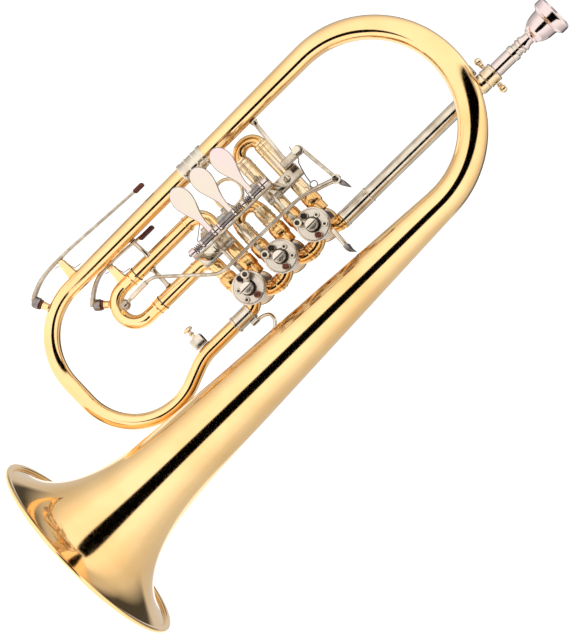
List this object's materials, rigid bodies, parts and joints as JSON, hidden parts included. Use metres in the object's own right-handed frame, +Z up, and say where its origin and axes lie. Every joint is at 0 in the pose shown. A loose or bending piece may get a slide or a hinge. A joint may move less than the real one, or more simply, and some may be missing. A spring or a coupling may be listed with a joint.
{
  "type": "flugelhorn",
  "caption": "Rotary-valve flugelhorn with a flared conical bell, wide main bow, touch levers, a third-slide trigger, lever water keys and a removable mouthpiece.",
  "frame": {"origin": "middle of the horn's outline, on the surface that the bell rim stands on", "axes": "+Z up along the bell axis towards the main bow, +X from the long leg to the bell, -Y the side with the touch plates"},
  "size_m": [0.2343, 0.1532, 0.4765],
  "materials": {
    "gold_brass": "clear gold lacquer, polished",
    "nickel_silver": "polished nickel silver",
    "silver_plate": "polished silver plate",
    "dark_steel": "blued spring steel",
    "cork": "stained cork"
  },
  "bodies": {
    "horn": {"bell": "gold_brass", "bell_rim": "gold_brass", "main_bow": "gold_brass", "rear_branch": "gold_brass", "valve_casing_1": "gold_brass", "valve_casing_2": "gold_brass", "valve_casing_3": "gold_brass", "valve_cap_1": "gold_brass", "valve_cap_2": "gold_brass", "valve_cap_3": "gold_brass", "lever_spring_1": "dark_steel", "lever_spring_2": "dark_steel", "lever_spring_3": "dark_steel", "hinge_rod": "dark_steel", "trigger_spring": "dark_steel", "water_key_spring_1": "dark_steel", "leg_ferrule": "nickel_silver", "outlet_ferrule": "nickel_silver", "leadpipe": "nickel_silver", "mouthpipe_receiver": "nickel_silver", "receiver_clamp": "nickel_silver", "leadpipe_brace": "nickel_silver", "stop_plate_1": "nickel_silver", "stop_plate_2": "nickel_silver", "stop_plate_3": "nickel_silver", "lever_frame": "nickel_silver", "slide_3_tubes": "nickel_silver", "trigger_post": "nickel_silver", "lyre_socket": "nickel_silver", "finger_hook": "nickel_silver", "bell_brace": "nickel_silver", "upper_brace": "nickel_silver"},
    "lever_1": {"touch_lever_1": "silver_plate"},
    "rotor_1": {"rotor_1": "gold_brass", "stop_arm_1": "nickel_silver"},
    "link_1": {"link_1": "nickel_silver"},
    "lever_2": {"touch_lever_2": "silver_plate"},
    "rotor_2": {"rotor_2": "gold_brass", "stop_arm_2": "nickel_silver"},
    "link_2": {"link_2": "nickel_silver"},
    "lever_3": {"touch_lever_3": "silver_plate"},
    "rotor_3": {"rotor_3": "gold_brass", "stop_arm_3": "nickel_silver"},
    "link_3": {"link_3": "nickel_silver"},
    "slide_1": {"slide_1": "nickel_silver"},
    "slide_2": {"slide_2": "nickel_silver"},
    "slide_3": {"slide_3": "gold_brass", "trigger_rod": "nickel_silver", "water_key_spring_2": "dark_steel"},
    "trigger": {"trigger": "nickel_silver"},
    "water_key_1": {"water_key_1": "nickel_silver", "water_key_1_pad": "cork"},
    "water_key_2": {"water_key_2": "nickel_silver", "water_key_2_pad": "cork"},
    "mouthpipe": {"tuning_mouthpipe": "silver_plate"},
    "mouthpiece": {"mouthpiece": "silver_plate"},
    "clamp_screw_left": {"clamp_screw_left": "nickel_silver"},
    "clamp_screw_right": {"clamp_screw_right": "nickel_silver"},
    "lyre_screw": {"lyre_screw": "nickel_silver"}
  },
  "joints": [
    {"name": "lever_1_press", "type": "hinge", "parent": "horn", "child": "lever_1", "pos_m": [-0.048, -0.0308, 0.2532], "axis": [0, 0, -1], "range_deg": [0, 30], "stiffness_Nm_per_rad": 0.06, "springref_deg": -34.38, "deforming": ["lever_spring_1"]},
    {"name": "rotor_1_turn", "type": "hinge", "parent": "horn", "child": "rotor_1", "pos_m": [-0.0102, 0.018, 0.2635], "axis": [0, -1, 0], "range_deg": [0, 90]},
    {"name": "link_1_pin", "type": "hinge", "parent": "rotor_1", "child": "link_1", "pos_m": [-0.01709, -0.0069, 0.25771], "axis": [0, -1, 0], "range_deg": [-90, 0]},
    {"name": "lever_2_press", "type": "hinge", "parent": "horn", "child": "lever_2", "pos_m": [-0.048, -0.0308, 0.2345], "axis": [0, 0, -1], "range_deg": [0, 30], "stiffness_Nm_per_rad": 0.06, "springref_deg": -34.38, "deforming": ["lever_spring_2"]},
    {"name": "rotor_2_turn", "type": "hinge", "parent": "horn", "child": "rotor_2", "pos_m": [-0.0102, 0.018, 0.233], "axis": [0, -1, 0], "range_deg": [0, 90]},
    {"name": "link_2_pin", "type": "hinge", "parent": "rotor_2", "child": "link_2", "pos_m": [-0.01709, -0.0069, 0.22721], "axis": [0, -1, 0], "range_deg": [-90, 0]},
    {"name": "lever_3_press", "type": "hinge", "parent": "horn", "child": "lever_3", "pos_m": [-0.048, -0.0308, 0.2157], "axis": [0, 0, -1], "range_deg": [0, 30], "stiffness_Nm_per_rad": 0.06, "springref_deg": -34.38, "deforming": ["lever_spring_3"]},
    {"name": "rotor_3_turn", "type": "hinge", "parent": "horn", "child": "rotor_3", "pos_m": [-0.0102, 0.018, 0.2025], "axis": [0, 1, 0], "range_deg": [0, 90]},
    {"name": "link_3_pin", "type": "hinge", "parent": "rotor_3", "child": "link_3", "pos_m": [-0.01709, -0.0069, 0.20829], "axis": [0, 1, 0], "range_deg": [-90, 0]},
    {"name": "slide_1_pull", "type": "slide", "parent": "horn", "child": "slide_1", "axis": [-1, 0, 0], "range_m": [0, 0.025]},
    {"name": "slide_2_pull", "type": "slide", "parent": "horn", "child": "slide_2", "axis": [-1, 0, 0], "range_m": [0, 0.012]},
    {"name": "slide_3_push", "type": "slide", "parent": "horn", "child": "slide_3", "axis": [0, 0, -1], "range_m": [0, 0.014], "stiffness_N_per_m": 60, "springref_m": -0.04},
    {"name": "trigger_turn", "type": "hinge", "parent": "horn", "child": "trigger", "pos_m": [-0.0511, -0.0101, 0.2917], "axis": [0, 1, 0], "range_deg": [0, 25], "deforming": ["trigger_spring"]},
    {"name": "water_key_1_press", "type": "hinge", "parent": "horn", "child": "water_key_1", "pos_m": [-0.1128, 0.0096, 0.1191], "axis": [0, 1, 0], "range_deg": [0, 5], "stiffness_Nm_per_rad": 0.05, "springref_deg": -28.65, "deforming": ["water_key_spring_1"]},
    {"name": "water_key_2_press", "type": "hinge", "parent": "slide_3", "child": "water_key_2", "pos_m": [-0.0875, 0.018, 0.1402], "axis": [0, 1, 0], "range_deg": [0, 8], "stiffness_Nm_per_rad": 0.05, "springref_deg": -28.65, "deforming": ["water_key_spring_2"]},
    {"name": "mouthpipe_tune", "type": "slide", "parent": "horn", "child": "mouthpipe", "axis": [0, 0, 1], "range_m": [0, 0.015]},
    {"name": "mouthpiece_pull", "type": "slide", "parent": "mouthpipe", "child": "mouthpiece", "axis": [0, 0, 1], "range_m": [0, 0.02]},
    {"name": "clamp_screw_left_turn", "type": "hinge", "parent": "horn", "child": "clamp_screw_left", "pos_m": [-0.008, 0.018, 0.41615], "axis": [-1, 0, 0], "range_deg": [-90, 0]},
    {"name": "clamp_screw_right_turn", "type": "hinge", "parent": "horn", "child": "clamp_screw_right", "pos_m": [0.0066, 0.018, 0.41615], "axis": [1, 0, 0], "range_deg": [-90, 0]},
    {"name": "lyre_screw_turn", "type": "hinge", "parent": "horn", "child": "lyre_screw", "pos_m": [-0.0132, 0.018, 0.1495], "axis": [-1, 0, 0], "range_deg": [-180, 0]}
  ],
  "couplings": [
    {"joint": "rotor_1_turn", "follows": "lever_1_press", "ratio": 3},
    {"joint": "link_1_pin", "follows": "lever_1_press", "ratio": -3},
    {"joint": "rotor_2_turn", "follows": "lever_2_press", "ratio": 3},
    {"joint": "link_2_pin", "follows": "lever_2_press", "ratio": -3},
    {"joint": "rotor_3_turn", "follows": "lever_3_press", "ratio": 3},
    {"joint": "link_3_pin", "follows": "lever_3_press", "ratio": -3},
    {"joint": "trigger_turn", "follows": "slide_3_push", "rad_per_m": 31.06}
  ]
}
